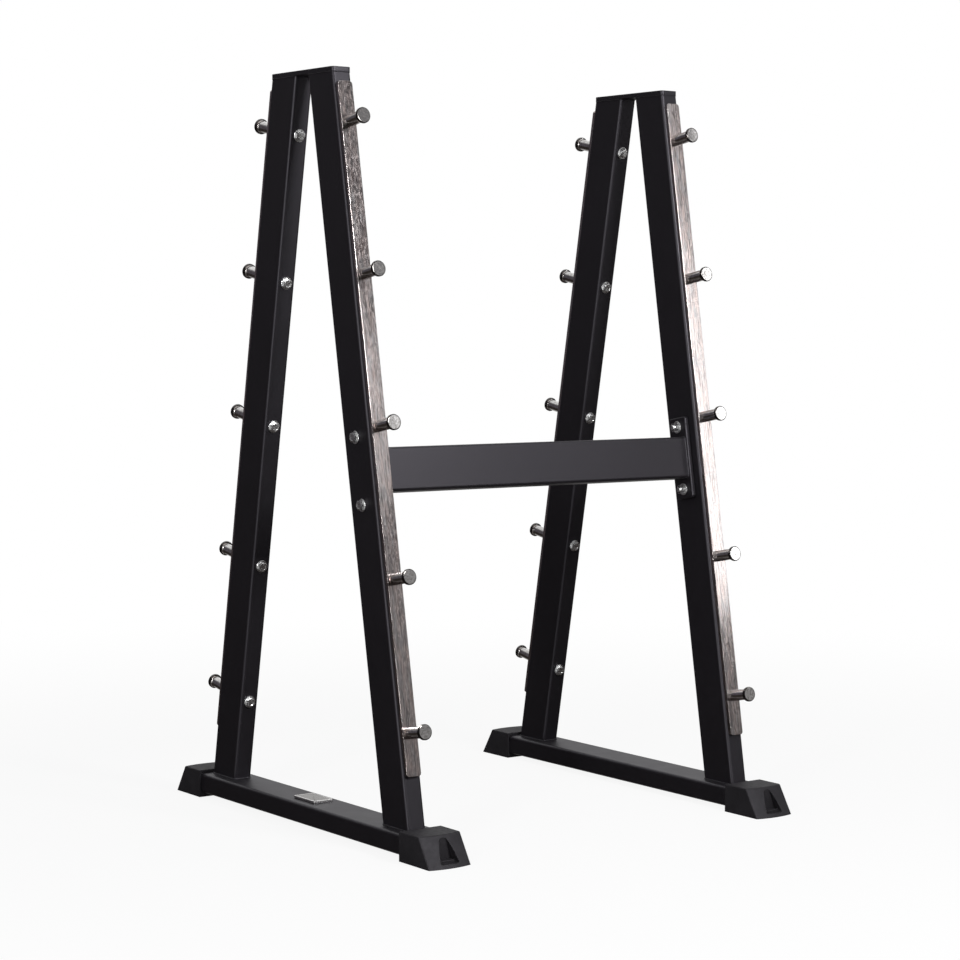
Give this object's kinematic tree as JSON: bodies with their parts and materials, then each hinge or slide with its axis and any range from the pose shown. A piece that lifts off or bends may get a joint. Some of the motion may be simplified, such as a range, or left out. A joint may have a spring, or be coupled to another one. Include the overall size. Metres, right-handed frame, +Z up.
{
  "type": "barbell storage rack",
  "caption": "Free-standing barbell rack: A-frames of leaning flat tube joined by a crossbar, with flanged metal pegs on bare metal strips up each upright, on slanted rubber feet.",
  "frame": {"origin": "on the floor, at the middle of the footprint", "axes": "+X along the crossbar to the right-hand frame, +Y along the base tubes from the crossbar's side to the rear, +Z up"},
  "size_m": [0.883, 0.934, 1.44],
  "materials": {
    "black_paint": "satin black powder coat",
    "strip_steel": "bare steel, brushed along its length",
    "peg_steel": "turned and polished",
    "zinc": "bright zinc plate",
    "rubber": "matte dark moulded rubber",
    "badge_metal": "plain satin metal"
  },
  "bodies": {
    "root": {"badge_plate": "badge_metal", "base_tube_left": "black_paint", "base_tube_right": "black_paint", "crossbar_bolt_left_lower": "zinc", "crossbar_bolt_left_upper": "zinc", "crossbar_bolt_right_lower": "zinc", "crossbar_bolt_right_upper": "zinc", "crossbar_flange_left": "black_paint", "crossbar_flange_right": "black_paint", "crossbar_nut_left_lower": "zinc", "crossbar_nut_left_upper": "zinc", "crossbar_nut_right_lower": "zinc", "crossbar_nut_right_upper": "zinc", "crossbar_tube": "black_paint", "crossbar_washer_inner_left_lower": "zinc", "crossbar_washer_inner_left_upper": "zinc", "crossbar_washer_inner_right_lower": "zinc", "crossbar_washer_inner_right_upper": "zinc", "crossbar_washer_outer_left_lower": "zinc", "crossbar_washer_outer_left_upper": "zinc", "crossbar_washer_outer_right_lower": "zinc", "crossbar_washer_outer_right_upper": "zinc", "foot_front_left": "rubber", "foot_front_right": "rubber", "foot_rear_left": "rubber", "foot_rear_right": "rubber", "peg_front_left_1": "peg_steel", "peg_front_left_2": "peg_steel", "peg_front_left_3": "peg_steel", "peg_front_left_4": "peg_steel", "peg_front_left_5": "peg_steel", "peg_front_right_1": "peg_steel", "peg_front_right_2": "peg_steel", "peg_front_right_3": "peg_steel", "peg_front_right_4": "peg_steel", "peg_front_right_5": "peg_steel", "peg_rear_left_1": "peg_steel", "peg_rear_left_2": "peg_steel", "peg_rear_left_3": "peg_steel", "peg_rear_left_4": "peg_steel", "peg_rear_left_5": "peg_steel", "peg_rear_right_1": "peg_steel", "peg_rear_right_2": "peg_steel", "peg_rear_right_3": "peg_steel", "peg_rear_right_4": "peg_steel", "peg_rear_right_5": "peg_steel", "top_plate_left": "black_paint", "top_plate_right": "black_paint", "upright_front_left": "black_paint", "upright_front_right": "black_paint", "upright_rear_left": "black_paint", "upright_rear_right": "black_paint", "wear_strip_front_left": "strip_steel", "wear_strip_front_right": "strip_steel", "wear_strip_rear_left": "strip_steel", "wear_strip_rear_right": "strip_steel"}
  },
  "joints": []
}
